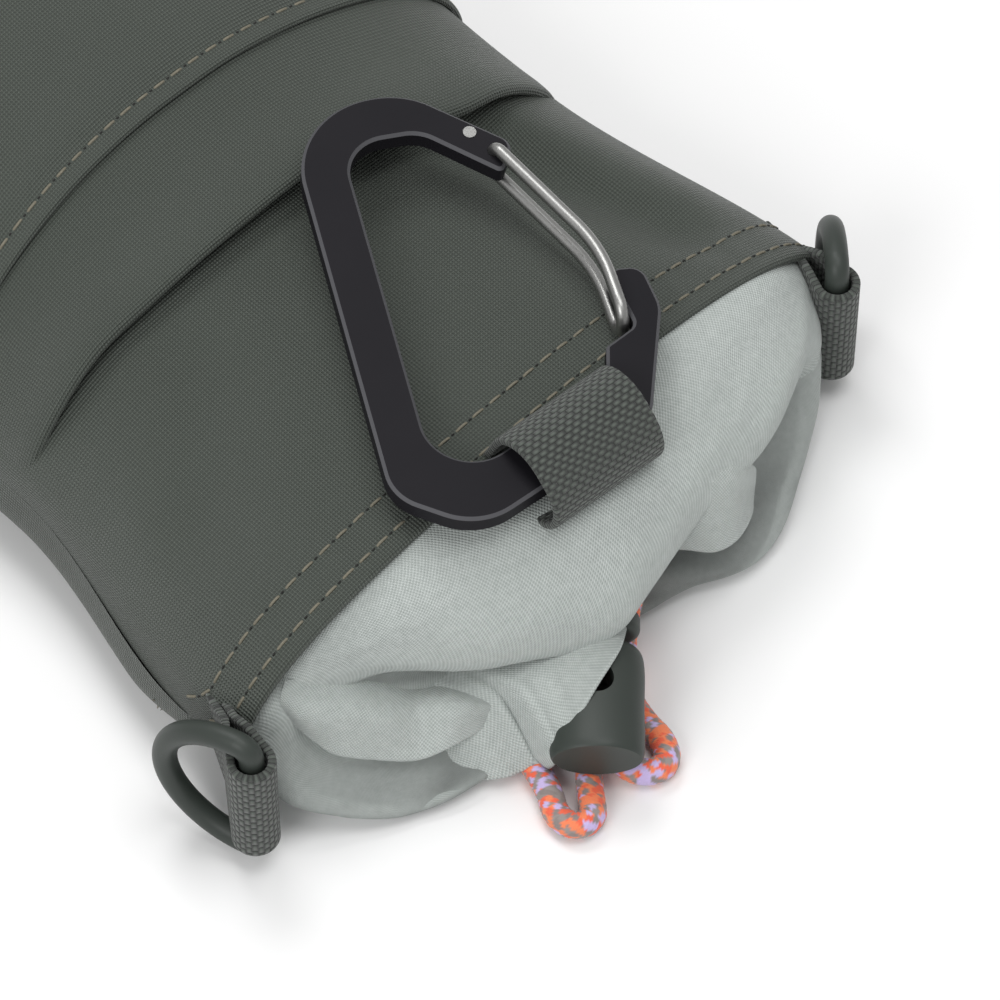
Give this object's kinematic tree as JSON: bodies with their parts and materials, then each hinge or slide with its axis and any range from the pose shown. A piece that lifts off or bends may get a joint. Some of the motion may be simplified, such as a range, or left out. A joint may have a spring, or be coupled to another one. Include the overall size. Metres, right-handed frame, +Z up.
{
  "type": "drawstring bottle pouch",
  "caption": "Soft insulated drawstring bottle pouch with a front pocket, gathered collar, cord lock, ring loops on both sides and a flat wire-gate carabiner.",
  "frame": {"origin": "on the surface that the pouch lies on, under the middle of its length and width, cord and lock left out", "axes": "+Z up out of the front, +Y from the mouth to the base, +X across the front"},
  "size_m": [0.1355, 0.2399, 0.0513],
  "materials": {
    "coated_fabric": "dark green coated polyester with an embossed diagonal weave, soft satin sheen",
    "collar_fabric": "light sage plain-woven polyester, matt",
    "lining_fabric": "light grey plain-woven lining, matt",
    "foam": "closed-cell foam, matt",
    "webbing": "dark green woven webbing, 20 mm, matt with a coarse rib",
    "trim_plastic": "dark grey-green moulded acetal, satin",
    "anodised_plate": "black anodised aluminium with a fine satin surface and bright edge break",
    "gate_steel": "stainless spring wire, polished",
    "shock_cord": "woven elastic cord flecked orange, warm grey and lilac"
  },
  "bodies": {
    "bag": {"front_panel": "coated_fabric", "back_panel": "coated_fabric", "hem_band": "coated_fabric", "base_panel": "coated_fabric", "side_seam_left": "coated_fabric", "side_seam_right": "coated_fabric", "pocket_panel": "coated_fabric", "pocket_band": "coated_fabric", "foam_sleeve": "foam", "base_foam": "foam", "lining": "lining_fabric", "base_lining": "lining_fabric", "collar": "collar_fabric", "collar_channel": "collar_fabric", "front_loop": "webbing", "side_loop_left": "webbing", "side_loop_right": "webbing", "drawcord_ring": "shock_cord", "drawcord_left": "shock_cord", "drawcord_right": "shock_cord"},
    "carabiner": {"carabiner_frame": "anodised_plate", "carabiner_rivet": "gate_steel"},
    "gate": {"carabiner_gate": "gate_steel"},
    "left_ring": {"d_ring_left": "trim_plastic"},
    "right_ring": {"d_ring_right": "trim_plastic"},
    "cord_lock": {"lock_body": "trim_plastic", "lock_spring": "gate_steel"},
    "lock_button": {"lock_plunger": "trim_plastic"}
  },
  "joints": [
    {"name": "carabiner_swing", "type": "hinge", "parent": "bag", "child": "carabiner", "pos_m": [0, -0.0962, 0.03905], "axis": [0.9965, -0.0837, 0], "range_deg": [0, 150]},
    {"name": "gate_open", "type": "hinge", "parent": "carabiner", "child": "gate", "pos_m": [0.02519, -0.0549, 0.04372], "axis": [0, 0.1115, -0.9938], "range_deg": [0, 25], "stiffness_Nm_per_rad": 0.03, "springref_deg": -8.59},
    {"name": "left_ring_swing", "type": "hinge", "parent": "bag", "child": "left_ring", "pos_m": [-0.0632, -0.096, 0.0152], "axis": [0, 0, 1], "range_deg": [0, 140]},
    {"name": "right_ring_swing", "type": "hinge", "parent": "bag", "child": "right_ring", "pos_m": [0.0548, -0.0965, 0.0152], "axis": [0, 0, -1], "range_deg": [0, 140]},
    {"name": "lock_slide", "type": "slide", "parent": "bag", "child": "cord_lock", "axis": [-0.7044, -0.7044, -0.0872], "range_m": [0, 0.012], "deforming": ["drawcord_left", "drawcord_right"]},
    {"name": "button_press", "type": "slide", "parent": "cord_lock", "child": "lock_button", "axis": [-0.7044, -0.7044, -0.0872], "range_m": [0, 0.0015], "stiffness_N_per_m": 450, "springref_m": -0.003, "deforming": ["lock_spring"]}
  ]
}
